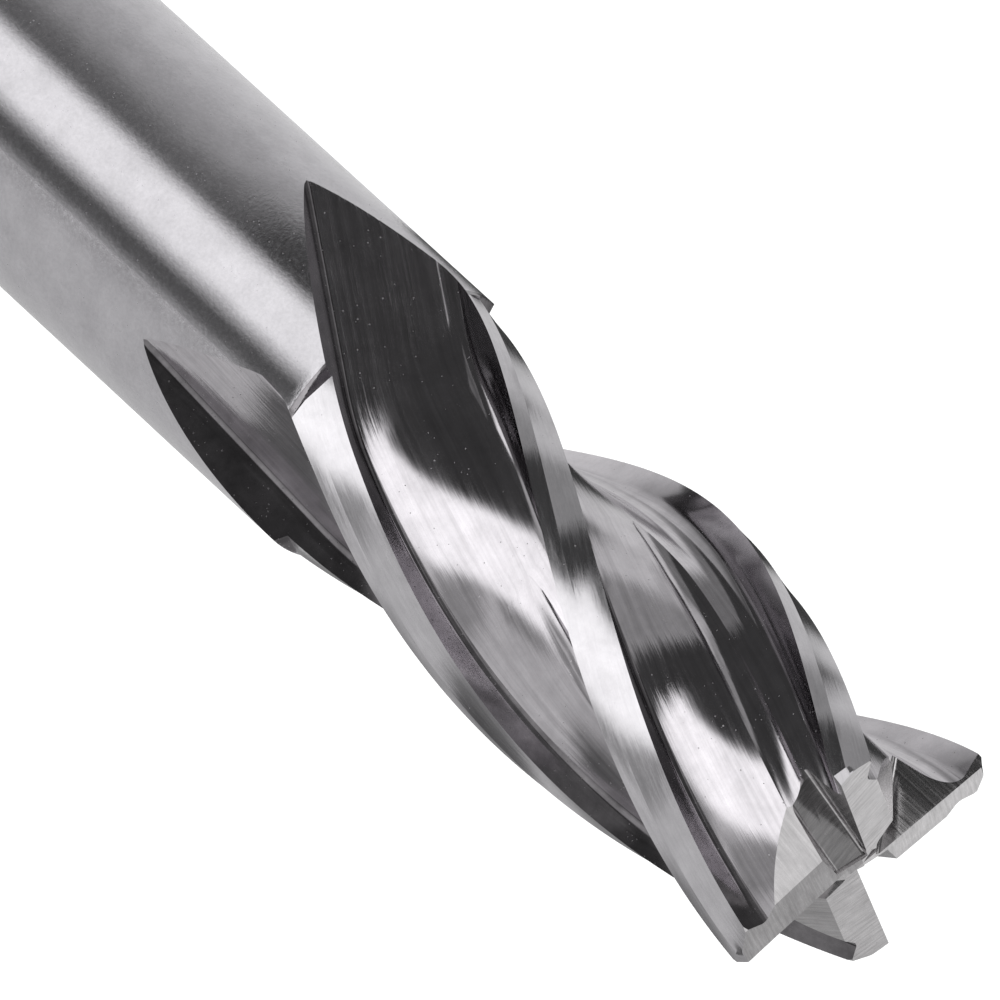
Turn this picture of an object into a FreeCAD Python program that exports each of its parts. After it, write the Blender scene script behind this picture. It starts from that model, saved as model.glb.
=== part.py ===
import FreeCAD, Part
import math
import os
from FreeCAD import Vector

# Square end mill with four right-hand flutes, standing on its shank end, cutting end up.
# Lengths are in millimetres and angles in degrees.

# Whole tool
CUTTING_DIAMETER = 10.0
SHANK_DIAMETER = 10.0
OVERALL_LENGTH = 72.0
SHANK_END_CHAMFER = 0.5

# Flutes: a rake face, a rounded foot, a flat floor, then a steep wall behind the next tooth
FLUTE_COUNT = 4
HELIX_ANGLE = 29.5
CUTTING_LENGTH = 23.0
RAKE_ANGLE = 12.0
RAKE_FOOT_RADIUS = 0.9
FLOOR_CORNER_DISTANCE = 3.85
FLOOR_CORNER_LAG = 16.5
FLOOR_CORNER_RADIUS = 0.3
BACK_WALL_LEAN = 30.0

# Gullet: a round groove along the floor, from its bottom on the core up to the floor
CORE_DIAMETER = 5.6
GULLET_DEPTH = 0.12
GULLET_RADIUS = 0.75
GULLET_LEAD = 23.5

# Run-out: below these heights over the start of the lands, flute and gullet rise and end
FLUTE_RUN_OUT_START = 1.5
RUN_OUT_SLOPE = 12.7
RUN_OUT_SIDE_ANGLE = 30.0
GULLET_RUN_OUT_START = 12.0
GULLET_RUN_OUT_LENGTH = 4.0

# Ground lands, with relief angles measured from the tangent at the cutting edge.
# The relief starts a little ahead of the edge, so it leaves no round strip there.
RELIEF_LEAD = 0.04
PRIMARY_RELIEF = 9.0
PRIMARY_WIDTH = 0.56
SECONDARY_RELIEF = 30.0
SECONDARY_WIDTH = 1.3
RELIEF_BLEND_LENGTH = 0.25
RELIEF_BLEND_GROWTH = 1.12

# Cutting end
CORNER_CHAMFER = 0.3
DISH_ANGLE = 1.5
END_RELIEF = 7.0
END_LAND_WIDTH = 1.5
END_SECONDARY_RELIEF = 50.0

# Gashes: every second tooth has a long one that reaches the middle, the others a short one
LONG_GASH_START = 0.12
LONG_GASH_SLANT = 16.0
LONG_GASH_WIDTH = 1.15
LONG_GASH_DEPTH = 0.3
LONG_GASH_SLOPE = 32.0
SHORT_GASH_START = 0.45
SHORT_GASH_SLANT = 16.0
SHORT_GASH_WIDTH = 0.5
SHORT_GASH_DEPTH = 0.12
SHORT_GASH_SLOPE = 40.0
GASH_WALL_LEAN = 26.0
GASH_BOTTOM_RADIUS = 0.2

# How far the cutter bodies reach past the blank, and the spacing of their sections
CLEARANCE = 1.5
SECTION_SPACING = 1.5

cutting_radius = CUTTING_DIAMETER / 2
shank_radius = SHANK_DIAMETER / 2
core_radius = CORE_DIAMETER / 2
floor_distance = core_radius + GULLET_DEPTH
tooth_angle = 360.0 / FLUTE_COUNT
lead = math.pi * CUTTING_DIAMETER / math.tan(math.radians(HELIX_ANGLE))
land_start_height = OVERALL_LENGTH - CUTTING_LENGTH
cutter_top = OVERALL_LENGTH + CLEARANCE
cutter_reach = max(cutting_radius, shank_radius) + CLEARANCE
origin = Vector(0, 0, 0)
upward = Vector(0, 0, 1)


def tangent(angle):
    return math.tan(math.radians(angle))


def polar(distance, angle):
    return Vector(distance * math.cos(math.radians(angle)), distance * math.sin(math.radians(angle)), 0)


def helix_turn(height):
    """Turn of the flutes at a height, zero at the cutting end."""
    return 360.0 * (height - OVERALL_LENGTH) / lead


def turned(shape, angle):
    copy = shape.copy()
    copy.rotate(origin, upward, angle)
    return copy


def at_teeth(shape, first=0, step=1):
    return [turned(shape, tooth * tooth_angle) for tooth in range(first, FLUTE_COUNT, step)]


def line(start, end):
    return Part.LineSegment(start, end).toShape()


def arc(start, middle, end):
    return Part.Arc(start, middle, end).toShape()


def rounding(corner, towards_start, towards_end, radius):
    """Start, middle and end of the arc that rounds a corner between two unit directions."""
    half_angle = towards_start.getAngle(towards_end) / 2
    setback = radius / math.tan(half_angle)
    bisector = (towards_start + towards_end).normalize()
    middle = corner + bisector * (radius / math.sin(half_angle) - radius)
    return corner + towards_start * setback, middle, corner + towards_end * setback


def along_helix(section, bottom, top, offset=origin):
    """Solid through copies of a flat section that turn with the flutes. The lowest is set off."""
    spans = math.ceil((top - bottom) / SECTION_SPACING)
    sections = []
    for i in range(spans + 1):
        copy = section.copy()
        copy.translate(offset * (1 - i / spans))
        height = bottom + (top - bottom) * i / spans
        copy = turned(copy, helix_turn(height))
        copy.translate(upward * height)
        sections.append(copy)
    return Part.makeLoft(sections, True, False)


def make_blank():
    """Plain bar with a chamfer at each end, left a little long for grinding the cutting end."""
    spare = CLEARANCE / 4
    outline = [
        origin,
        Vector(shank_radius - SHANK_END_CHAMFER, 0, 0),
        Vector(shank_radius, 0, SHANK_END_CHAMFER),
        Vector(shank_radius, 0, land_start_height),
        Vector(cutting_radius, 0, land_start_height),
        Vector(cutting_radius, 0, OVERALL_LENGTH - CORNER_CHAMFER),
        Vector(cutting_radius - CORNER_CHAMFER - spare, 0, OVERALL_LENGTH + spare),
        Vector(0, 0, OVERALL_LENGTH + spare),
    ]
    if SHANK_DIAMETER == CUTTING_DIAMETER:
        del outline[3:5]
    return Part.Face(Part.makePolygon(outline + [origin])).revolve(origin, upward, 360)


def make_flute():
    """Cutter bodies of one flute: helical, then straight and rising through the run-out."""
    edge = Vector(cutting_radius, 0, 0)
    rake_outward = polar(1, RAKE_ANGLE)
    corner_angle = tooth_angle - FLOOR_CORNER_LAG
    facing = corner_angle - math.degrees(math.acos(floor_distance / FLOOR_CORNER_DISTANCE))
    floor_normal = polar(1, facing)
    floor_ahead = polar(1, facing + 90)
    wall_outward = polar(1, facing + BACK_WALL_LEAN)

    corner = polar(FLOOR_CORNER_DISTANCE, corner_angle)
    rake_length = (edge.dot(floor_normal) - floor_distance) / rake_outward.dot(floor_normal)
    foot = edge - rake_outward * rake_length
    rake_end, foot_middle, floor_start = rounding(foot, rake_outward, floor_ahead, RAKE_FOOT_RADIUS)
    floor_end, corner_middle, wall_start = rounding(corner, floor_ahead * -1, wall_outward, FLOOR_CORNER_RADIUS)

    rake_outside = edge + rake_outward * (2 * CLEARANCE)
    wall_outside = corner + wall_outward * (cutter_reach - core_radius)
    section = Part.Wire([
        line(rake_outside, rake_end),
        arc(rake_end, foot_middle, floor_start),
        line(floor_start, floor_end),
        arc(floor_end, corner_middle, wall_start),
        line(wall_start, wall_outside),
        line(wall_outside, rake_outside),
    ])

    start_height = land_start_height + FLUTE_RUN_OUT_START
    turn = helix_turn(start_height)
    start = turned(section, turn)
    start.translate(upward * start_height)
    rise = polar(tangent(RUN_OUT_SLOPE), facing + turn) + polar(tangent(RUN_OUT_SIDE_ANGLE), facing + turn - 90)
    fall = (cutter_reach - floor_distance) / tangent(RUN_OUT_SLOPE)
    straight = Part.Face(start).extrude((rise - upward) * fall)
    return [along_helix(section, start_height, cutter_top), straight]


def make_gullet():
    """Cutter bodies of one gullet: a round-bottomed slot, and its start that sinks into the floor."""
    outward = polar(1, GULLET_LEAD)
    across = polar(GULLET_RADIUS, GULLET_LEAD + 90)
    centre = outward * (core_radius + GULLET_RADIUS)
    opening = outward * cutter_reach
    section = Part.Wire([
        line(opening - across, centre - across),
        arc(centre - across, outward * core_radius, centre + across),
        line(centre + across, opening + across),
        line(opening + across, opening - across),
    ])
    full_height = land_start_height + GULLET_RUN_OUT_START
    start_height = full_height - GULLET_RUN_OUT_LENGTH
    sinking = along_helix(section, start_height, full_height, outward * (2 * GULLET_DEPTH))
    return [along_helix(section, full_height, cutter_top), sinking]


def relief_section(growth=1.0):
    """Outline that touches every tooth along its primary and secondary land."""
    start = polar(cutting_radius, math.degrees(RELIEF_LEAD / cutting_radius))
    primary = polar(1, -90 - PRIMARY_RELIEF)
    secondary = polar(1, -90 - SECONDARY_RELIEF)
    primary_end = start + primary * (RELIEF_LEAD + PRIMARY_WIDTH)
    tooth = [
        start - primary * PRIMARY_WIDTH,
        primary_end,
        primary_end + secondary * SECONDARY_WIDTH,
    ]
    points = []
    for i in range(FLUTE_COUNT):
        turn = FreeCAD.Rotation(upward, -i * tooth_angle)
        points += [turn.multVec(point) * growth for point in tooth]
    return Part.makePolygon(points + points[:1])


def make_relief():
    """Ring that is ground off around the teeth. It starts with a short slope at the shank."""
    blend_end = land_start_height + RELIEF_BLEND_LENGTH
    grown = turned(relief_section(RELIEF_BLEND_GROWTH), helix_turn(land_start_height))
    grown.translate(upward * land_start_height)
    full = turned(relief_section(), helix_turn(blend_end))
    full.translate(upward * blend_end)
    blend = Part.makeLoft([grown, full], True, True)
    teeth = along_helix(relief_section(), blend_end, cutter_top)
    height = cutter_top - land_start_height - CLEARANCE / 2
    ring = Part.makeCylinder(cutter_reach + CLEARANCE, height, upward * land_start_height)
    return ring.cut([blend, teeth])


def end_height(x, y):
    """Height of a tooth's end land. Its cutting edge runs out along the X axis."""
    inward = cutting_radius - CORNER_CHAMFER - x
    height = OVERALL_LENGTH - inward * tangent(DISH_ANGLE)
    height += max(y, -END_LAND_WIDTH) * tangent(END_RELIEF)
    height += min(y + END_LAND_WIDTH, 0) * tangent(END_SECONDARY_RELIEF)
    return height


def above_end_land(points):
    corners = [Vector(point.x, point.y, end_height(point.x, point.y)) for point in points]
    face = Part.Face(Part.makePolygon(corners + corners[:1]))
    return face.extrude(upward * (2 * cutter_reach * tangent(END_SECONDARY_RELIEF)))


def make_end_reliefs():
    """Cutter bodies over one tooth: the end land behind the cutting edge, then the steeper fall."""
    side = polar(cutter_reach, -tooth_angle)
    far = polar(cutter_reach / math.cos(math.radians(tooth_angle / 2)), -tooth_angle / 2)
    heel_inside = polar(END_LAND_WIDTH / math.sin(math.radians(tooth_angle)), -tooth_angle)
    heel_outside = Vector(cutter_reach, -END_LAND_WIDTH, 0)
    land = above_end_land([origin, heel_inside, heel_outside, Vector(cutter_reach, 0, 0)])
    fall = above_end_land([heel_inside, side, far, heel_outside])
    return [land, fall]


def make_gash(start, slant, width, depth, slope):
    """Trough in front of an end cutting edge. One wall stands on the edge, the other leans away."""
    across = polar(1, 90 - slant)
    leaning = upward + across * tangent(GASH_WALL_LEAN)
    edge_bottom = Vector(start, 0, OVERALL_LENGTH - depth)
    far_bottom = edge_bottom + across * width
    edge_start, edge_middle, edge_end = rounding(edge_bottom, upward, across, GASH_BOTTOM_RADIUS)
    far_start, far_middle, far_end = rounding(
        far_bottom, across * -1, Vector(leaning).normalize(), GASH_BOTTOM_RADIUS)
    height = cutter_reach * tangent(slope) + depth + CLEARANCE
    edge_top = edge_bottom + upward * height
    far_top = far_bottom + leaning * height
    section = Part.Wire([
        line(edge_top, edge_start),
        arc(edge_start, edge_middle, edge_end),
        line(edge_end, far_start),
        arc(far_start, far_middle, far_end),
        line(far_end, far_top),
        line(far_top, edge_top),
    ])
    return Part.Face(section).extrude(Vector(1, 0, -tangent(slope)) * cutter_reach)


def make_end_mill():
    body = make_blank()
    for cutter in make_flute() + make_gullet():
        body = body.cut(at_teeth(cutter))
    body = body.cut(make_relief())
    for cutter in make_end_reliefs():
        body = body.cut(at_teeth(cutter))
    long_gash = make_gash(
        LONG_GASH_START, LONG_GASH_SLANT, LONG_GASH_WIDTH, LONG_GASH_DEPTH, LONG_GASH_SLOPE)
    short_gash = make_gash(
        SHORT_GASH_START, SHORT_GASH_SLANT, SHORT_GASH_WIDTH, SHORT_GASH_DEPTH, SHORT_GASH_SLOPE)
    return body.cut(at_teeth(long_gash, 0, 2) + at_teeth(short_gash, 1, 2))


os.makedirs("parts", exist_ok=True)
end_mill = make_end_mill()
end_mill.exportStep("parts/end_mill.step")
print("solids", len(end_mill.Solids), "valid", end_mill.isValid(), "volume", round(end_mill.Volume, 2))
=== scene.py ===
import math

import bmesh
import bpy
import numpy as np
from mathutils import Matrix, Vector


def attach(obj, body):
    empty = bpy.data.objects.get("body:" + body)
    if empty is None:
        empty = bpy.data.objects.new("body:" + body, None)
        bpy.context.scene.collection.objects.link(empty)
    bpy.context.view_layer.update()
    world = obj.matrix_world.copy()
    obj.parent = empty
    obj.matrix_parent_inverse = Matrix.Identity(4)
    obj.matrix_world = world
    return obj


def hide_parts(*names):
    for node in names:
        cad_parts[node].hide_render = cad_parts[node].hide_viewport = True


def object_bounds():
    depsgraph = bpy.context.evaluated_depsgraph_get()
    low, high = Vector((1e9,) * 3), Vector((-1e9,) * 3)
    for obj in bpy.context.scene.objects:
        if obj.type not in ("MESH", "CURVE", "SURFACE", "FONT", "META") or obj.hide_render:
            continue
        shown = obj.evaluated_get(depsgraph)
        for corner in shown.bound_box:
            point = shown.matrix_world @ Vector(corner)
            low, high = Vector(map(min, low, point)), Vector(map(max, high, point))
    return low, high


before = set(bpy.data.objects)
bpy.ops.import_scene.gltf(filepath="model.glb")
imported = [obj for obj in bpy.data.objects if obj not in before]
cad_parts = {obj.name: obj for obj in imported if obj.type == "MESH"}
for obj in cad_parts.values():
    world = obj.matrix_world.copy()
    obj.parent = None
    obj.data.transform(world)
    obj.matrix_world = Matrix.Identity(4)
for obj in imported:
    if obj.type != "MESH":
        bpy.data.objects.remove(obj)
cad_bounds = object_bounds()

# Lengths are in millimetres and angles in degrees. Meshes are scaled to metres when they are made.
MM = 0.001

# Whole tool. The dished end stays a little under the overall length, which the rounding puts back.
CUTTING_RADIUS = round(cad_bounds[1][0] / MM, 2)
OVERALL_LENGTH = round(cad_bounds[1][2] / MM, 1)
SHANK_END_CHAMFER = 0.5

# Flutes: a rake face, a rounded foot, a flat floor, then a steep wall behind the next tooth
FLUTE_COUNT = 4
FLUTE_ANGLE = 360.0 / FLUTE_COUNT
HELIX_ANGLE = 29.5
HELIX_LEAD = 2 * math.pi * CUTTING_RADIUS / math.tan(math.radians(HELIX_ANGLE))
CUTTING_LENGTH = 23.0
LAND_START = OVERALL_LENGTH - CUTTING_LENGTH
RAKE_ANGLE = 12.0
RAKE_FOOT_RADIUS = 0.9
FLOOR_CORNER_DISTANCE = 3.85
FLOOR_CORNER_LAG = 16.5
FLOOR_CORNER_RADIUS = 0.3
BACK_WALL_LEAN = 30.0

# Gullet: a round groove along the floor. It is full above one height and has risen out at a lower one.
CORE_RADIUS = 2.8
GULLET_DEPTH = 0.12
GULLET_RADIUS = 0.75
GULLET_LEAD = 23.5
GULLET_FULL = LAND_START + 12.0
GULLET_START = GULLET_FULL - 4.0
GULLET_RISE = 0.24

# Run-out: below this height the flute rises and ends, with an eased bend where it starts to
RUN_OUT_TOP = LAND_START + 1.5
RUN_OUT_BOTTOM = 42.6
RUN_OUT_SLOPE = 12.7
RUN_OUT_SIDE_ANGLE = 30.0
RUN_OUT_EASE = 1.2

# Ground lands, with relief angles measured from the tangent at the cutting edge. The lands lie within
# an angle behind their edge, and the secondary one keeps at least a narrow strip.
RELIEF_LEAD = 0.04
PRIMARY_RELIEF = 9.0
PRIMARY_WIDTH = 0.56
SECONDARY_RELIEF = 30.0
RELIEF_BLEND_LENGTH = 0.25
RELIEF_BLEND_GROWTH = 1.12
LAND_BEHIND = 60.0
NARROWEST_LAND = 0.5

# Cutting end
CORNER_CHAMFER = 0.3
DISH_ANGLE = 1.5
END_RELIEF = 7.0
END_LAND_WIDTH = 1.5
END_SECONDARY_RELIEF = 50.0

# Start, slant, width, depth and slope of the gashes, of which every second tooth has a long one
LONG_GASH = (0.12, 16.0, 1.15, 0.3, 32.0)
SHORT_GASH = (0.45, 16.0, 0.5, 0.12, 40.0)
GASH_WALL_LEAN = 26.0
GASH_BOTTOM_RADIUS = 0.2
GASH_SET_BACK = 0.26

# How far the drawn faces and the cutters reach past what they cut, and cutters past each other
RAKE_SPARE = 1.2
WALL_LENGTH = 2.4
END_SPARE = 0.4
CUTTER_REACH = 6.5
CUTTER_HEIGHT = 3.0
GASH_SPARE = 1.5
CUTTER_OVERLAP = 0.03

# Faces of the tool, each with a finish, then the steps in which a section is drawn, then its rows of sections
REGIONS = ["shank", "step", "secondary", "primary", "rake", "floor", "gullet", "corner", "wall", "end"]
STEPS = {
    "secondary": 14, "primary": 8, "rake": 9, "foot": 12, "floor to gullet": 6, "gullet": 8, "floor": 16,
    "corner": 8, "wall": 16, "gash bottom": 5}
SHANK_ROWS = 8
ROW_MARGIN = 0.12
ROW_SPACING = 0.13
STEP_ROWS = 11
LOWER_ROWS = 10
FLUTED_ROWS = 108
END_ROWS = 4

# Angle up to which an edge is shaded smooth, and the distances in metres under which points are joined
SMOOTH_ANGLE = 16.0
JOINING_DISTANCE = 2e-6
SHORTEST_EDGE = 2e-7


def polar(distance, angle):
    return distance * np.array([math.cos(math.radians(angle)), math.sin(math.radians(angle))])


def tangent(angle):
    return math.tan(math.radians(angle))


def angle_of(points):
    return np.degrees(np.arctan2(points[..., 1], points[..., 0]))


def turn_points(points, angle):
    c, s = math.cos(math.radians(angle)), math.sin(math.radians(angle))
    return points @ np.array([[c, s], [-s, c]])


def helix_turn(height):
    """Angle of a cutting edge at a height, from its place at the tool's end."""
    return 360.0 * (height - OVERALL_LENGTH) / HELIX_LEAD


def eased(x, reach):
    """The larger of x and 0, with a smooth bend where they meet."""
    if abs(x) >= reach:
        return max(x, 0.0)
    return (x + reach) ** 2 / (4 * reach)


# The floor's corner and its distance from the axis give the way that the floor faces.
FLOOR_DISTANCE = CORE_RADIUS + GULLET_DEPTH
CORNER_ANGLE = FLUTE_ANGLE - FLOOR_CORNER_LAG
FACING = CORNER_ANGLE - math.degrees(math.acos(FLOOR_DISTANCE / FLOOR_CORNER_DISTANCE))
FLOOR_NORMAL = polar(1, FACING)
FLOOR_AHEAD = polar(1, FACING + 90)

# The primary land starts on the cutting circle just ahead of the edge and ends where the secondary starts.
RELIEF_START = polar(CUTTING_RADIUS, math.degrees(RELIEF_LEAD / CUTTING_RADIUS))
RELIEF_CORNER = RELIEF_START + polar(RELIEF_LEAD + PRIMARY_WIDTH, -90 - PRIMARY_RELIEF)


def arc_points(corner, first, second, radius, steps):
    """Points of the arc that rounds a corner between two unit directions, ends included."""
    half = math.acos(np.clip(first @ second, -1, 1)) / 2
    bisector = (first + second) / np.linalg.norm(first + second)
    centre = corner + bisector * radius / math.sin(half)
    start = corner + first * radius / math.tan(half) - centre
    end = corner + second * radius / math.tan(half) - centre
    start_angle = math.atan2(start[1], start[0])
    end_angle = math.atan2(end[1], end[0])
    sweep = (end_angle - start_angle + math.pi) % (2 * math.pi) - math.pi
    angles = np.linspace(start_angle, start_angle + sweep, steps + 1)
    return centre + radius * np.stack([np.cos(angles), np.sin(angles)], 1)


def between(start, end, steps):
    """Points on a line, the first included and the last left out."""
    return start + (end - start) * np.linspace(0, 1, steps, endpoint=False)[:, None]


def gullet_points(height):
    """Arc of the gullet below the floor, which is level with the floor where the gullet hasn't started."""
    sink = min(max((height - GULLET_START) / (GULLET_FULL - GULLET_START), 0), 1)
    centre = polar(CORE_RADIUS + GULLET_RADIUS + GULLET_RISE * (1 - sink), GULLET_LEAD)
    middle = centre @ FLOOR_AHEAD
    rise = centre @ FLOOR_NORMAL - FLOOR_DISTANCE
    half_width = math.sqrt(max(GULLET_RADIUS ** 2 - rise ** 2, 0))
    along = middle + half_width * np.linspace(-1, 1, STEPS["gullet"] + 1)
    below = np.sqrt(np.maximum(GULLET_RADIUS ** 2 - (along - middle) ** 2, 0))
    distance = np.minimum(centre @ FLOOR_NORMAL - below, FLOOR_DISTANCE)
    return distance[:, None] * FLOOR_NORMAL + along[:, None] * FLOOR_AHEAD


def flute_parts(height):
    """Parts of one flute from its rake face to its back wall, each with its region and points."""
    edge = np.array([CUTTING_RADIUS, 0.0])
    rake = polar(1, RAKE_ANGLE)
    wall = polar(1, FACING + BACK_WALL_LEAN)
    foot = edge - rake * (edge @ FLOOR_NORMAL - FLOOR_DISTANCE) / (rake @ FLOOR_NORMAL)
    foot_arc = arc_points(foot, rake, FLOOR_AHEAD, RAKE_FOOT_RADIUS, STEPS["foot"])
    corner = polar(FLOOR_CORNER_DISTANCE, CORNER_ANGLE)
    corner_arc = arc_points(corner, -FLOOR_AHEAD, wall, FLOOR_CORNER_RADIUS, STEPS["corner"])
    gullet = gullet_points(height)
    wall_end = corner_arc[-1] + wall * WALL_LENGTH
    return [
        ("rake", between(edge + rake * RAKE_SPARE, edge, 2)),
        ("rake", between(edge, foot_arc[0], STEPS["rake"])),
        ("rake", foot_arc[:-1]),
        ("floor", between(foot_arc[-1], gullet[0], STEPS["floor to gullet"])),
        ("gullet", gullet[:-1]),
        ("floor", between(gullet[-1], corner_arc[0], STEPS["floor"])),
        ("corner", corner_arc[:-1]),
        ("wall", between(corner_arc[-1], wall_end, STEPS["wall"])),
        ("wall", wall_end[None]),
    ]


def flute_points(height):
    return np.concatenate([points for region, points in flute_parts(height)])


def relief_radius(angle):
    """Distance of the ground lands from the axis, at an angle from the cutting edge."""
    primary = RELIEF_START @ polar(1, -PRIMARY_RELIEF) / np.cos(np.radians(angle + PRIMARY_RELIEF))
    secondary = RELIEF_CORNER @ polar(1, -SECONDARY_RELIEF) / np.cos(np.radians(angle + SECONDARY_RELIEF))
    return np.minimum(primary, secondary)


def outer_radius(angle, height):
    """Distance of the outside from the axis, where angle counts from a cutting edge."""
    if height <= LAND_START:
        return np.full_like(angle, CUTTING_RADIUS)
    chamfered = CUTTING_RADIUS - max(0, height - OVERALL_LENGTH + CORNER_CHAMFER)
    from_edge = (angle + LAND_BEHIND) % FLUTE_ANGLE - LAND_BEHIND
    blend = max(0, 1 - (height - LAND_START) / RELIEF_BLEND_LENGTH)
    growth = 1 + (RELIEF_BLEND_GROWTH - 1) * blend
    return np.minimum(chamfered, growth * relief_radius(from_edge))


def clipped_flute(height):
    """Flute points from its cutting edge on, drawn together where they leave the tool. None if all do."""
    points = flute_points(height)
    below = eased(RUN_OUT_TOP - height, RUN_OUT_EASE)
    if below > 0:
        rise = FLOOR_NORMAL * tangent(RUN_OUT_SLOPE) - FLOOR_AHEAD * tangent(RUN_OUT_SIDE_ANGLE)
        points = turn_points(points + rise * below, helix_turn(below) - helix_turn(0))
    inside = np.where(np.linalg.norm(points, axis=1) < outer_radius(angle_of(points), height))[0]
    if len(inside) == 0:
        return None

    def crossing(outside, within):
        low, high = points[outside], points[within]
        for halving in range(40):
            middle = (low + high) / 2
            if np.linalg.norm(middle) > outer_radius(angle_of(middle), height):
                low = middle
            else:
                high = middle
        return (low + high) / 2

    first, last = inside[0], inside[-1]
    clipped = points.copy()
    clipped[:first] = crossing(first - 1, first)
    clipped[last + 1:] = crossing(last + 1, last)
    return clipped


def row_heights():
    """Heights of the drawn sections, close together in the run-out and in the step of the lands."""
    def rows(start, end, count):
        return list(np.linspace(start, end, count + 1)[1:])

    heights = [0.0, SHANK_END_CHAMFER] + rows(SHANK_END_CHAMFER, RUN_OUT_BOTTOM, SHANK_ROWS)
    heights += list(np.arange(RUN_OUT_BOTTOM + ROW_MARGIN, LAND_START - ROW_MARGIN, ROW_SPACING))
    heights += [LAND_START]
    heights += rows(LAND_START, LAND_START + RELIEF_BLEND_LENGTH, STEP_ROWS)
    heights += rows(LAND_START + RELIEF_BLEND_LENGTH, RUN_OUT_TOP, LOWER_ROWS)
    heights += rows(RUN_OUT_TOP, OVERALL_LENGTH - CORNER_CHAMFER, FLUTED_ROWS)
    heights += rows(OVERALL_LENGTH - CORNER_CHAMFER, OVERALL_LENGTH + END_SPARE, END_ROWS)
    return np.array(heights)


def apex_angle():
    """Angle at which the run-out of a flute leaves the shank, found from its lowest section."""
    height = RUN_OUT_BOTTOM
    flute = clipped_flute(height)
    while flute is None:
        height += 0.01
        flute = clipped_flute(height)
    return float(np.mean(angle_of(flute))) + helix_turn(height)


def tooth_section(height, apex):
    """Points of one tooth's outside, from its heel to its edge, and of the flute in front of it."""
    turn = helix_turn(height)
    radius = CUTTING_RADIUS - (SHANK_END_CHAMFER if height == 0 else 0)
    flute = clipped_flute(height)
    if flute is None:
        flute = np.tile(polar(radius, apex), (len(flute_points(height)), 1))
        edge_angle = apex
        heel_angle = apex - FLUTE_ANGLE
    else:
        flute = turn_points(flute, turn)
        edge_angle = angle_of(flute[0])
        heel_angle = edge_angle - (edge_angle - angle_of(flute[-1]) + FLUTE_ANGLE) % 360
    if height > LAND_START:
        corner_angle = edge_angle - (edge_angle - angle_of(RELIEF_CORNER) - turn) % 360
        corner_angle = max(corner_angle, heel_angle + NARROWEST_LAND)
        angles = np.concatenate([
            np.linspace(heel_angle, corner_angle, STEPS["secondary"], endpoint=False),
            np.linspace(corner_angle, edge_angle, STEPS["primary"], endpoint=False)])
        distance = outer_radius(angles - turn, height)
    else:
        steps = STEPS["secondary"] + STEPS["primary"]
        angles = np.linspace(heel_angle, edge_angle, steps, endpoint=False)
        distance = np.full_like(angles, radius)
    outside = distance[:, None] * np.stack([np.cos(np.radians(angles)), np.sin(np.radians(angles))], 1)
    return np.concatenate([outside, flute])


def sector_regions(heights):
    """Number of the region of each face, by row and by step round the sector."""
    names = ["secondary"] * STEPS["secondary"] + ["primary"] * STEPS["primary"]
    names += [name for name, points in flute_parts(OVERALL_LENGTH) for point in points]

    # Each point starts a face, except the last one of the wall.
    region = np.tile([REGIONS.index(name) for name in names[:-1]], (len(heights) - 1, 1))
    land = (region == REGIONS.index("secondary")) | (region == REGIONS.index("primary"))
    middle = (heights[:-1] + heights[1:])[:, None] / 2
    region = np.where(land & (middle < LAND_START), REGIONS.index("shank"), region)
    in_step = (middle > LAND_START) & (middle < LAND_START + RELIEF_BLEND_LENGTH)
    return np.where(land & in_step, REGIONS.index("step"), region)


def sector_mesh():
    """One tooth and one flute up the whole tool, with a map in millimetres along and across its faces."""
    heights = row_heights()
    apex = apex_angle()
    rows = np.array([tooth_section(height, apex) for height in heights])
    count = rows.shape[1]
    v = np.tile(heights[:, None], (1, count))
    vertices = np.concatenate([rows, v[:, :, None]], axis=2)
    region = sector_regions(heights)

    def corners(grid):
        return np.stack([grid[:-1, :-1], grid[:-1, 1:], grid[1:, 1:], grid[1:, :-1]], -1)

    # Across the flutes and lands the map follows the top section, and round the shank its circle.
    steps = np.linalg.norm(np.diff(rows[-1], axis=0), axis=1)
    flute_u = np.tile(np.concatenate([[0], np.cumsum(steps)]), (len(heights), 1))
    round_angle = np.unwrap(np.radians(angle_of(rows)), axis=1)
    round_angle += (np.unwrap(round_angle[:, 0]) - round_angle[:, 0])[:, None]
    shank_u = round_angle * CUTTING_RADIUS
    on_shank = (region == REGIONS.index("shank"))[:, :, None]
    uv = np.stack([np.where(on_shank, corners(shank_u), corners(flute_u)), corners(v)], -1)

    mesh = bpy.data.meshes.new("fluted sector")
    quads = corners(np.arange(len(heights) * count).reshape(len(heights), count)).reshape(-1, 4)
    mesh.from_pydata(vertices.reshape(-1, 3) * MM, [], quads.tolist())
    mesh.uv_layers.new(name="along").data.foreach_set("uv", uv.astype(np.float32).ravel())
    attribute = mesh.attributes.new("region", "INT", "FACE")
    attribute.data.foreach_set("value", region.astype(np.int32).ravel())
    return mesh


def node_maker(tree):
    """Function that adds a node to the tree. Each input gets a value, or the socket that feeds it."""
    def node(kind, place, inputs=None, **settings):
        made = tree.nodes.new(kind)
        made.location = place
        for name, value in settings.items():
            setattr(made, name, value)
        for name, value in (inputs or {}).items():
            if isinstance(value, bpy.types.NodeSocket):
                tree.links.new(value, made.inputs[name])
            else:
                made.inputs[name].default_value = value
        return made
    return node


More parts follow.
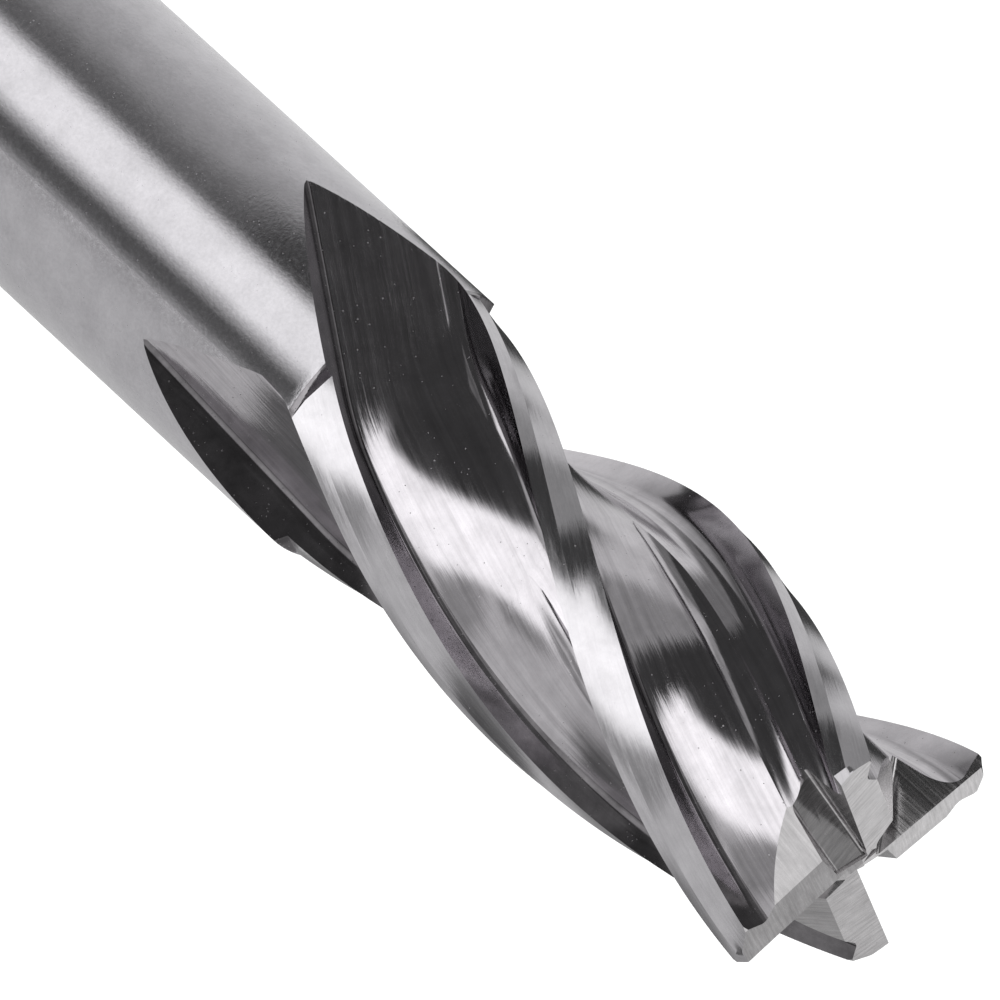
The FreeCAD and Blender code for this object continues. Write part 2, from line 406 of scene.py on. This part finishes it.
def repeat_tree():
    """Geometry Nodes tree that sets copies of a piece round the tool's axis and joins them."""
    tree = bpy.data.node_groups.new("Repeat round the axis", "GeometryNodeTree")
    for name, kind in (("Geometry", "Geometry"), ("Copies", "Int"), ("First angle", "Float"),
                       ("Joining distance", "Float"), ("Material", "Material")):
        tree.interface.new_socket(name, in_out="INPUT", socket_type="NodeSocket" + kind)
    tree.interface.new_socket("Geometry", in_out="OUTPUT", socket_type="NodeSocketGeometry")
    node = node_maker(tree)
    start = node("NodeGroupInput", (-900, 0)).outputs
    points = node("GeometryNodePoints", (-600, 200), {"Count": start["Copies"]})
    index = node("GeometryNodeInputIndex", (-900, -300))
    step = node("ShaderNodeMath", (-700, -200), {0: 2 * math.pi, 1: start["Copies"]}, operation="DIVIDE")
    angle = node("ShaderNodeMath", (-500, -200),
                 {0: index.outputs[0], 1: step.outputs[0], 2: start["First angle"]}, operation="MULTIPLY_ADD")
    turn = node("ShaderNodeCombineXYZ", (-300, -200), {"Z": angle.outputs[0]})
    rotation = node("FunctionNodeEulerToRotation", (-150, -200), {0: turn.outputs[0]})
    copies = node("GeometryNodeInstanceOnPoints", (50, 0), {
        "Points": points.outputs[0], "Instance": start["Geometry"], "Rotation": rotation.outputs[0]})
    real = node("GeometryNodeRealizeInstances", (250, 0), {0: copies.outputs[0]})
    joined = node("GeometryNodeMergeByDistance", (450, 0), {
        "Geometry": real.outputs[0], "Distance": start["Joining distance"]})
    finish = node("GeometryNodeSetMaterial", (650, 0), {
        "Geometry": joined.outputs[0], "Material": start["Material"]})
    node("NodeGroupOutput", (850, 0), {0: finish.outputs[0]})
    return tree


def repeated(mesh, name, copies, first_angle, distance, material):
    """Mesh of that many copies round the axis."""
    tree = repeat_tree()
    piece = bpy.data.objects.new(name, mesh)
    bpy.context.scene.collection.objects.link(piece)
    modifier = piece.modifiers.new("repeat", "NODES")
    modifier.node_group = tree
    sockets = {item.name: item.identifier for item in tree.interface.items_tree if item.in_out == "INPUT"}
    modifier[sockets["Copies"]] = copies
    modifier[sockets["First angle"]] = math.radians(first_angle)
    modifier[sockets["Joining distance"]] = distance
    modifier[sockets["Material"]] = material
    shown = piece.evaluated_get(bpy.context.evaluated_depsgraph_get())
    result = bpy.data.meshes.new_from_object(shown)
    result.name = name
    bpy.data.objects.remove(piece)
    return result


def join_close_points(mesh):
    """Takes out edges that are too short to see, and the faces between them."""
    work = bmesh.new()
    work.from_mesh(mesh)
    bmesh.ops.dissolve_degenerate(work, dist=SHORTEST_EDGE, edges=work.edges)
    work.to_mesh(mesh)
    work.free()


def close_ends(mesh):
    """Caps both ends of the fluted body."""
    work = bmesh.new()
    work.from_mesh(mesh)
    whole = set(work.faces)
    bmesh.ops.holes_fill(work, edges=[edge for edge in work.edges if edge.is_boundary], sides=0)
    region = work.faces.layers.int["region"]
    along = work.loops.layers.uv["along"]
    caps = [face for face in work.faces if face not in whole]
    for face in caps:
        face[region] = REGIONS.index("end")
        for loop in face.loops:
            loop[along].uv = (loop.vert.co.x / MM, loop.vert.co.y / MM)
    bmesh.ops.recalc_face_normals(work, faces=work.faces)
    bmesh.ops.triangulate(work, faces=caps)
    work.to_mesh(mesh)
    work.free()


def cutter_mesh(lower, upper):
    """Closed cutter between two outlines with as many points, given as x, y, z rows in millimetres."""
    count = len(lower)
    mesh = bpy.data.meshes.new("cutter")
    sides = [(i, (i + 1) % count, count + (i + 1) % count, count + i) for i in range(count)]
    ends = [tuple(reversed(range(count))), tuple(range(count, 2 * count))]
    mesh.from_pydata((np.concatenate([lower, upper]) * MM).tolist(), [], ends[:1] + sides + ends[1:])
    work = bmesh.new()
    work.from_mesh(mesh)
    bmesh.ops.recalc_face_normals(work, faces=work.faces)
    work.to_mesh(mesh)
    work.free()
    uv = mesh.uv_layers.new(name="along")
    for loop, corner in zip(mesh.loops, uv.data):
        point = mesh.vertices[loop.vertex_index].co / MM
        corner.uv = (point.x, point.y)
    attribute = mesh.attributes.new("region", "INT", "FACE")
    attribute.data.foreach_set("value", [REGIONS.index("end")] * len(mesh.polygons))
    return mesh


def end_cutter(back, front, edge_y, edge_height, slope):
    """Cutter over a strip of one tooth's end. It slopes away behind a line, and is dished to the middle."""
    outline = [(0.0, front), (0.0, back), (CUTTER_REACH, back), (CUTTER_REACH, front)]
    lower = np.array([
        (x, y, OVERALL_LENGTH - (CUTTING_RADIUS - CORNER_CHAMFER - x) * tangent(DISH_ANGLE)
         + edge_height + (y - edge_y) * tangent(slope))
        for x, y in outline])
    upper = lower.copy()
    upper[:, 2] = OVERALL_LENGTH + CUTTER_HEIGHT
    return cutter_mesh(lower, upper)


def gash_cutter(start, slant, width, depth, slope):
    """Trough in front of an end cutting edge, with one upright wall and one that leans away."""
    across = polar(1, 90 - slant)
    height = CUTTER_REACH * tangent(slope) + depth + GASH_SPARE
    leaning = np.array([tangent(GASH_WALL_LEAN), 1.0])
    foot = np.array([width, 0.0])
    upright, flat = np.array([0.0, 1.0]), np.array([1.0, 0.0])
    near_arc = arc_points(np.zeros(2), upright, flat, GASH_BOTTOM_RADIUS, STEPS["gash bottom"])
    lean = leaning / np.linalg.norm(leaning)
    far_arc = arc_points(foot, -flat, lean, GASH_BOTTOM_RADIUS, STEPS["gash bottom"])
    section = np.concatenate([[[0, height]], near_arc, far_arc, [foot + leaning * height]])
    lower = np.array([
        (start + across[0] * w, across[1] * w - GASH_SET_BACK, OVERALL_LENGTH - depth + h)
        for w, h in section])
    upper = lower + np.array([1, 0, -tangent(slope)]) * CUTTER_REACH
    return cutter_mesh(lower, upper)


def cut(mesh, cutter, angle):
    """Mesh with the cutter, turned by an angle about the axis, taken off."""
    turned = cutter.copy()
    turned.transform(Matrix.Rotation(math.radians(angle), 4, "Z"))
    target = bpy.data.objects.new("target", mesh)
    tool = bpy.data.objects.new("tool", turned)
    bpy.context.scene.collection.objects.link(target)
    bpy.context.scene.collection.objects.link(tool)
    modifier = target.modifiers.new("cut", "BOOLEAN")
    modifier.operation = "DIFFERENCE"
    modifier.solver = "MANIFOLD"
    modifier.object = tool
    shown = target.evaluated_get(bpy.context.evaluated_depsgraph_get())
    result = bpy.data.meshes.new_from_object(shown)
    bpy.data.objects.remove(target)
    bpy.data.objects.remove(tool)
    return result


def cut_end(body):
    """Body with its dished and relieved end teeth and the gashes between them."""
    heel_height = -END_LAND_WIDTH * tangent(END_RELIEF)
    land = end_cutter(-END_LAND_WIDTH - CUTTER_OVERLAP, CUTTER_OVERLAP, 0.0, 0.0, END_RELIEF)
    fall = end_cutter(
        -CUTTER_REACH, CUTTER_OVERLAP - END_LAND_WIDTH, -END_LAND_WIDTH, heel_height, END_SECONDARY_RELIEF)
    for cutter in (land, fall):
        for tooth in range(FLUTE_COUNT):
            body = cut(body, cutter, tooth * FLUTE_ANGLE)
    for first, gash in enumerate((LONG_GASH, SHORT_GASH)):
        cutter = gash_cutter(*gash)
        for tooth in range(first, FLUTE_COUNT, 2):
            body = cut(body, cutter, tooth * FLUTE_ANGLE)
    return body


# Clouds and grains per metre, size of a grain within its cell, and how much rougher it is
CLOUD_SCALE = 900.0
GRAIN_SCALE = 6500.0
GRAIN_SIZES = (0.05, 0.2)
GRAIN_ROUGHNESS = 0.35


def ground_steel(name, colour, roughness, streaks, scratch, shading, blotch, specks):
    """
    Ground steel. Streaks are noise per millimetre across and along the piece's own map, and scratch is their
    depth in millimetres. Shading, blotch and specks say how strong the streaks' tone, the clouds and the
    grains that stick to the surface are.
    """
    material = bpy.data.materials.new(name)
    material.use_nodes = True
    shader = material.node_tree.nodes["Principled BSDF"]
    shader.inputs["Metallic"].default_value = 1.0
    node = node_maker(material.node_tree)

    def ranged(value, place, low, high, first, last):
        return node("ShaderNodeMapRange", place, {
            "Value": value, "From Min": low, "From Max": high, "To Min": first, "To Max": last}).outputs[0]

    def noise(place, vector, scale, detail, roughness_of_detail, dimensions):
        return node("ShaderNodeTexNoise", place, {
            "Vector": vector, "Scale": scale, "Detail": detail, "Roughness": roughness_of_detail},
            noise_dimensions=dimensions).outputs[0]

    def computed(operation, place, *values):
        return node("ShaderNodeMath", place, dict(enumerate(values)), operation=operation).outputs[0]

    own_map = node("ShaderNodeUVMap", (-1500, 0), uv_map="along").outputs[0]
    in_object = node("ShaderNodeTexCoord", (-1500, -400)).outputs["Object"]
    stretched = node("ShaderNodeMapping", (-1300, 0), {0: own_map, "Scale": (*streaks, 1)}).outputs[0]
    lines = noise((-1100, 0), stretched, 1.0, 5.0, 0.65, "2D")
    clouds = noise((-1100, -400), in_object, CLOUD_SCALE, 6.0, 0.7, "3D")

    shade = ranged(lines, (-800, 300), 0.25, 0.75, 1.0 - shading * 0.65, 1.0 + shading * 0.35)
    mottle = ranged(clouds, (-800, 50), 0.3, 0.7, 1.0 - blotch, 1.0 + blotch * 0.5)
    both = computed("MULTIPLY", (-600, 200), shade, mottle)
    tint = node("ShaderNodeVectorMath", (-400, 200), {0: colour, "Scale": both}, operation="SCALE")
    material.node_tree.links.new(tint.outputs[0], shader.inputs["Base Color"])

    cells = node("ShaderNodeTexVoronoi", (-1100, -700), {"Vector": in_object, "Scale": GRAIN_SCALE}).outputs
    pick = node("ShaderNodeSeparateColor", (-900, -800), {0: cells["Color"]}).outputs
    size = ranged(pick[1], (-900, -1000), 0.0, 1.0, *GRAIN_SIZES)
    near = computed("LESS_THAN", (-700, -650), cells["Distance"], size)
    chosen = computed("LESS_THAN", (-700, -800), pick[0], specks)
    grain = computed("MULTIPLY", (-500, -700), near, chosen)
    rough = ranged(lines, (-800, -200), 0.3, 0.7, roughness * 0.75, roughness * 1.3)
    coarse = computed("MULTIPLY_ADD", (-300, -500), grain, GRAIN_ROUGHNESS, rough)
    material.node_tree.links.new(coarse, shader.inputs["Roughness"])

    bump = node("ShaderNodeBump", (-400, -300), {"Strength": 1.0, "Distance": scratch * MM, "Height": lines})
    material.node_tree.links.new(bump.outputs[0], shader.inputs["Normal"])
    return material


def finishes():
    """Finish of each region of the tool, in the order of REGIONS."""
    shank = ground_steel(
        "satin ground shank", (0.66, 0.645, 0.672), 0.2, (7.0, 7.0), 0.007,
        shading=0.12, blotch=0.12, specks=0.22)
    land = ground_steel(
        "fine ground land", (0.66, 0.645, 0.668), 0.15, (9.0, 0.8), 0.003,
        shading=0.16, blotch=0.12, specks=0.06)
    flute = ground_steel(
        "bright ground flute", (0.64, 0.617, 0.645), 0.1, (4.5, 0.14), 0.005,
        shading=0.3, blotch=0.16, specks=0.18)
    rake = ground_steel(
        "fine ground rake", (0.64, 0.617, 0.645), 0.1, (4.5, 0.14), 0.0015,
        shading=0.3, blotch=0.16, specks=0.18)
    # The back wall, the rounded corner at its foot and the step where the lands start get about half the
    # colour of the other steel. This is painted shade on these faces, and their dense specks are real stuck
    # grain.
    wall = ground_steel(
        "back wall with painted shade", (0.33, 0.315, 0.33), 0.12, (4.0, 0.35), 0.001,
        shading=0.3, blotch=0.4, specks=0.8)
    end = ground_steel(
        "ground end tooth", (0.655, 0.64, 0.648), 0.14, (9.0, 0.8), 0.003,
        shading=0.36, blotch=0.18, specks=0.06)
    return [shank, wall, land, land, rake, flute, flute, wall, wall, end]


def make_end_mill():
    steels = finishes()
    body = repeated(sector_mesh(), "end mill", FLUTE_COUNT, 0, JOINING_DISTANCE, steels[0])
    join_close_points(body)
    close_ends(body)
    body = cut_end(body)
    join_close_points(body)
    body.polygons.foreach_set("use_smooth", [True] * len(body.polygons))
    body.set_sharp_from_angle(angle=math.radians(SMOOTH_ANGLE))
    body.materials.clear()
    for steel in steels:
        body.materials.append(steel)
    region = np.zeros(len(body.polygons), dtype=np.int32)
    body.attributes["region"].data.foreach_get("value", region)
    body.polygons.foreach_set("material_index", region)
    piece = bpy.data.objects.new("ground_end_mill", body)
    bpy.context.scene.collection.objects.link(piece)
    return piece


end_mill = make_end_mill()
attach(end_mill, "root")
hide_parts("end_mill")


# Camera: what it aims at, the direction from there to the camera, and its turn about the lens.
CAMERA_AIM = np.array([10.48, 1.65, 60.0])
CAMERA_AZIMUTH = 12.49
CAMERA_ELEVATION = 29.65
CAMERA_ROLL = 132.56
CAMERA_DISTANCE = 584.2
LENS = 697.21
SENSOR_WIDTH = 36.0


def camera_axes():
    """Unit vectors to the right of the camera, up from it and back from it."""
    azimuth, elevation, roll = np.radians([CAMERA_AZIMUTH, CAMERA_ELEVATION, CAMERA_ROLL])
    back = np.array([
        np.cos(elevation) * np.cos(azimuth), np.cos(elevation) * np.sin(azimuth), np.sin(elevation)])
    level = np.array([-np.sin(azimuth), np.cos(azimuth), 0.0])
    right = np.cos(roll) * level + np.sin(roll) * np.cross(back, level)
    return right, np.cross(back, right), back


RIGHT, UP, BACK = camera_axes()


def make_camera():
    """Long lens on the cutting end, turned so that the tool points to the lower right."""
    data = bpy.data.cameras.new("camera")
    data.sensor_fit = "HORIZONTAL"
    data.sensor_width = SENSOR_WIDTH
    data.lens = LENS
    data.clip_start = 0.01
    data.clip_end = 10
    camera = bpy.data.objects.new("camera", data)
    place = (CAMERA_AIM + BACK * CAMERA_DISTANCE) * MM
    camera.matrix_world = Matrix.Translation(Vector(place)) @ Matrix((RIGHT, UP, BACK)).transposed().to_4x4()
    bpy.context.scene.collection.objects.link(camera)
    bpy.context.scene.camera = camera


# Light tent: a ball of white cloth about the tool, in metres. A long softbox glows in it, with black cloth
# above and behind it and a grey strip along part of its lower edge.
TENT_RADIUS = 0.3
TENT_HEIGHT = 0.055
TENT_RINGS = 180
TENT_COLUMNS = 360
WHITE_CLOTH = 0.62
BLACK_CLOTH = 0.055
BLACK_CLOTH_SIDES = (-133, 62)
BLACK_CLOTH_TOP = 61
GREY_STRIP = 0.3
GREY_STRIP_SIDES = (-84, -60)
GREY_STRIP_WIDTH = 7
SOFTBOX = 1.5
SOFTBOX_SIDES = (-112, 17)

# Panels by azimuth and elevation, where azimuth 0 is the photographer: left, right, low, high,
# brightness and softness, later ones over earlier ones.
TENT_PANELS = [
    (-145, -95, -90, -30, 0.12, 16),
    (-95, -30, -90, -42, 0.40, 12),
    (-185, -150, -75, -45, 0.40, 12),
    (-18, 25, 3, 36, 0.18, 12),
    (-20, 25, -60, 3, 0.07, 8),
    (22, 52, -75, -28, 0.12, 14),
    (25, 52, -20, 24, 0.95, 8),
    (52, 90, -50, 28, 0.28, 12),
    (20, 112, 24, 52, 0.12, 6),
    (65, 120, 50, 92, 0.33, 20),
    (108, 142, -10, 40, 0.14, 10),
    (142, 185, 26, 60, 0.74, 10),
    (118, 142, 42, 60, 0.70, 10),
    (138, 208, 57, 90, 0.22, 12),
    (-52, -26, -5, 13, 0.33, 8),
    (136, 160, -66, -51, 0.25, 6),
    (137, 183, -20, 20, 0.05, 8),
    (126, 162, -52, -22, 0.80, 8),
    (95, 122, -55, -22, 0.50, 8),
    (-40, 0, -85, -62, 0.60, 10),
    (-180, -138, -25, 12, 0.25, 16),
]

# The softbox over the photographer's left shoulder: its lower and upper edge at some azimuths.
SOFTBOX_AZIMUTHS = [-125, -105, -90, -75, -60, -45, -30, -15, 0, 14, 26, 45]
SOFTBOX_LOW = [-20, -17, -12, -4, 5, 13, 17, 26, 38, 47, 45, 40]
SOFTBOX_HIGH = [-16, -4, 14, 22, 31, 38, 44, 50, 55.5, 61, 46, 40]

# Sleeves of cloth round parts of the shank: radius, first and last angle of the shank that shows it, top.
SLEEVES = {
    "front sleeve": (6.0, -20, 16, 48.4),
    "side sleeve": (15.0, 15, 107, 37.5),
    "far sleeve": (15.0, -107, -19, 43.4),
}
SLEEVE_BOTTOM = -80.0
SLEEVE_COLUMNS = 181

# Angle of the shank, counted from its middle as the camera sees it, and brightness of the cloth shown there.
SLEEVE_BANDS = [
    (-180, 0.8), (-105, 0.8), (-82, 0.6), (-60, 0.55), (-30, 0.58), (-22, 0.42), (-17, 0.12), (-12, 0.10),
    (-8, 0.55), (-4, 1.12), (4, 1.18), (10, 1.12), (13, 0.65), (16, 0.18), (20, 0.12), (26, 0.22), (34, 0.40),
    (44, 0.48), (54, 0.66), (80, 0.8), (110, 0.8), (180, 0.8),
]

# Floor and overhead lamp, in metres and watts, and the floor's own glow as the camera and the steel see it
FLOOR_HALF_WIDTH = 3.0
FLOOR_GLOW = 0.12
LAMP_PLACE = Vector((0.12, 0.2, 0.6))
LAMP_SIZE = 0.25
LAMP_ENERGY = 1.2


def soft_step(x, width):
    """0 to 1 over a width around zero."""
    x = np.clip(x / width + 0.5, 0, 1)
    return x * x * (3 - 2 * x)


def panel(azimuth, elevation, left, right, low, high, soft):
    """Soft-edged rectangle in azimuth and elevation, from 0 outside to 1 inside."""
    middle = (left + right) / 2
    turned = (azimuth - middle + 180) % 360 - 180 + middle
    inside = soft_step(turned - left, soft) * soft_step(right - turned, soft)
    return inside * soft_step(elevation - low, soft) * soft_step(high - elevation, soft)


def glow_at(directions):
    """Brightness of the light tent in directions from the tool."""
    azimuth = np.degrees(np.arctan2(directions @ RIGHT, directions @ BACK))
    elevation = np.degrees(np.arcsin(np.clip(directions @ UP, -1, 1)))
    low = np.interp(azimuth, SOFTBOX_AZIMUTHS, SOFTBOX_LOW)
    high = np.interp(azimuth, SOFTBOX_AZIMUTHS, SOFTBOX_HIGH)

    left, right = BLACK_CLOTH_SIDES
    black = soft_step(elevation - high, 8) * soft_step(right - azimuth, 20)
    black *= np.maximum(soft_step(azimuth - left, 10), soft_step(elevation - BLACK_CLOTH_TOP, 8))
    layers = [(BLACK_CLOTH, black)]
    for left, right, bottom, top, glow, soft in TENT_PANELS:
        layers.append((glow, panel(azimuth, elevation, left, right, bottom, top, soft)))
    strip = soft_step(elevation - low + GREY_STRIP_WIDTH, 5) * soft_step(low - elevation, 4)
    layers.append((GREY_STRIP, strip * panel(azimuth, elevation, *GREY_STRIP_SIDES, -90, 90, 8)))
    left, right = SOFTBOX_SIDES
    box = soft_step(elevation - low, 5) * soft_step(high - elevation, 4)
    layers.append((SOFTBOX, box * soft_step(azimuth - left, 12) * soft_step(right - azimuth, 14)))

    total = np.full(len(directions), WHITE_CLOTH)
    for glow, share in layers:
        total = total * (1 - share) + glow * share
    return total


def stage_piece(name, vertices, faces, material):
    """Object of the stage, which isn't part of the tool."""
    mesh = bpy.data.meshes.new(name)
    mesh.from_pydata(vertices.tolist(), [], faces)
    mesh.materials.append(material)
    piece = bpy.data.objects.new(name, mesh)
    bpy.context.scene.collection.objects.link(piece)
    return piece


def cloth_material():
    """Cloth that glows by the brightness that its points carry."""
    material = bpy.data.materials.new("glowing cloth")
    material.use_nodes = True
    material.node_tree.nodes.clear()
    node = node_maker(material.node_tree)
    glow = node("ShaderNodeAttribute", (-400, 0), attribute_name="glow")
    light = node("ShaderNodeEmission", (-200, 0), {"Strength": glow.outputs["Fac"]})
    node("ShaderNodeOutputMaterial", (0, 0), {"Surface": light.outputs[0]})
    return material


def lit_cloth(name, vertices, faces, glow, material):
    """Glowing cloth that shows only in the tool's surfaces."""
    cloth = stage_piece(name, vertices, faces, material)
    layer = cloth.data.attributes.new("glow", "FLOAT", "POINT")
    layer.data.foreach_set("value", glow.astype(np.float32))
    cloth.visible_camera = False
    cloth.visible_diffuse = False
    cloth.visible_shadow = False
    cloth.visible_transmission = False


def make_tent(material):
    """Round light tent about the tool."""
    tilt = np.linspace(0, np.pi, TENT_RINGS + 1)[1:-1]
    spin = np.linspace(0, 2 * np.pi, TENT_COLUMNS, endpoint=False)
    tilts, spins = np.meshgrid(tilt, spin, indexing="ij")
    directions = np.stack([np.sin(tilts) * np.cos(spins), np.sin(tilts) * np.sin(spins), np.cos(tilts)], -1)
    directions = np.concatenate([directions.reshape(-1, 3), [[0, 0, 1], [0, 0, -1]]])
    grid = np.arange((TENT_RINGS - 1) * TENT_COLUMNS).reshape(TENT_RINGS - 1, TENT_COLUMNS)
    following = np.roll(grid, -1, axis=1)
    faces = np.stack([grid[:-1], grid[1:], following[1:], following[:-1]], -1).reshape(-1, 4).tolist()
    top, bottom = len(directions) - 2, len(directions) - 1
    faces += [(top, int(i), int(j)) for i, j in zip(grid[0], following[0])]
    faces += [(bottom, int(j), int(i)) for i, j in zip(grid[-1], following[-1])]
    vertices = np.array([0, 0, TENT_HEIGHT]) + directions * TENT_RADIUS
    lit_cloth("tent", vertices, faces, glow_at(directions), material)


def make_sleeve(name, radius, first, last, top, material):
    """Curved cloth round a part of the shank, below the flutes, which gives the shank its own bands."""
    shank_angles = np.linspace(first, last, SLEEVE_COLUMNS)
    band_angles, band_glow = zip(*SLEEVE_BANDS)
    glow = np.interp(shank_angles, band_angles, band_glow)

    # By reflection, each angle of the shank shows the camera one place on the sleeve.
    angles = np.radians(shank_angles)
    shown = 2 * angles - np.arcsin(np.sin(angles) * CUTTING_RADIUS / radius)
    angle = math.radians(CAMERA_AZIMUTH) - shown
    ring = radius * np.stack([np.cos(angle), np.sin(angle)], 1)
    count = len(ring)
    vertices = np.concatenate([np.column_stack([ring, np.full(count, z)]) for z in (SLEEVE_BOTTOM, top)]) * MM
    index = np.arange(count - 1)
    faces = np.stack([index, index + 1, index + 1 + count, index + count], 1).tolist()
    lit_cloth(name, vertices, faces, np.tile(glow, 2), material)


def make_floor():
    """Wide white floor. It shows plain white to the camera and keeps the tool's shadow."""
    material = bpy.data.materials.new("white floor")
    material.use_nodes = True
    material.node_tree.nodes.clear()
    node = node_maker(material.node_tree)
    ray = node("ShaderNodeLightPath", (-800, 0)).outputs
    seen = node("ShaderNodeMath", (-600, 0), {
        0: ray["Is Camera Ray"], 1: ray["Is Glossy Ray"]}, operation="MAXIMUM")
    seen_at_all = node("ShaderNodeMath", (-400, 0), {
        0: seen.outputs[0], 1: ray["Is Transmission Ray"]}, operation="MAXIMUM")
    share = node("ShaderNodeMath", (-200, 0), {
        0: seen_at_all.outputs[0], 1: FLOOR_GLOW}, operation="MULTIPLY")
    white = node("ShaderNodeEmission", (0, 0), {"Strength": share.outputs[0]})
    paint = node("ShaderNodeBsdfDiffuse", (0, 200), {"Color": (0.9, 0.9, 0.9, 1)})
    both = node("ShaderNodeAddShader", (200, 0), {0: paint.outputs[0], 1: white.outputs[0]})
    node("ShaderNodeOutputMaterial", (400, 0), {"Surface": both.outputs[0]})
    corners = np.array([(-1, -1, 0), (1, -1, 0), (1, 1, 0), (-1, 1, 0)]) * FLOOR_HALF_WIDTH
    floor = stage_piece("floor", corners, [(0, 1, 2, 3)], material)
    floor.visible_glossy = False


def make_lights():
    """White room and a broad lamp overhead that gives the tool its shadow."""
    world = bpy.data.worlds.new("studio")
    bpy.context.scene.world = world
    world.use_nodes = True
    world.node_tree.nodes["Background"].inputs["Color"].default_value = (1, 1, 1, 1)
    world.node_tree.nodes["Background"].inputs["Strength"].default_value = 1.0
    lamp = bpy.data.lights.new("overhead", "AREA")
    lamp.shape = "DISK"
    lamp.size = LAMP_SIZE
    lamp.energy = LAMP_ENERGY
    overhead = bpy.data.objects.new("overhead", lamp)
    overhead.location = LAMP_PLACE
    overhead.rotation_euler = LAMP_PLACE.to_track_quat("Z", "Y").to_euler()
    overhead.visible_glossy = False
    bpy.context.scene.collection.objects.link(overhead)


make_camera()
cloth = cloth_material()
make_tent(cloth)
for name, sleeve in SLEEVES.items():
    make_sleeve(name, *sleeve, cloth)
make_floor()
make_lights()
bpy.context.scene.view_settings.view_transform = "Standard"
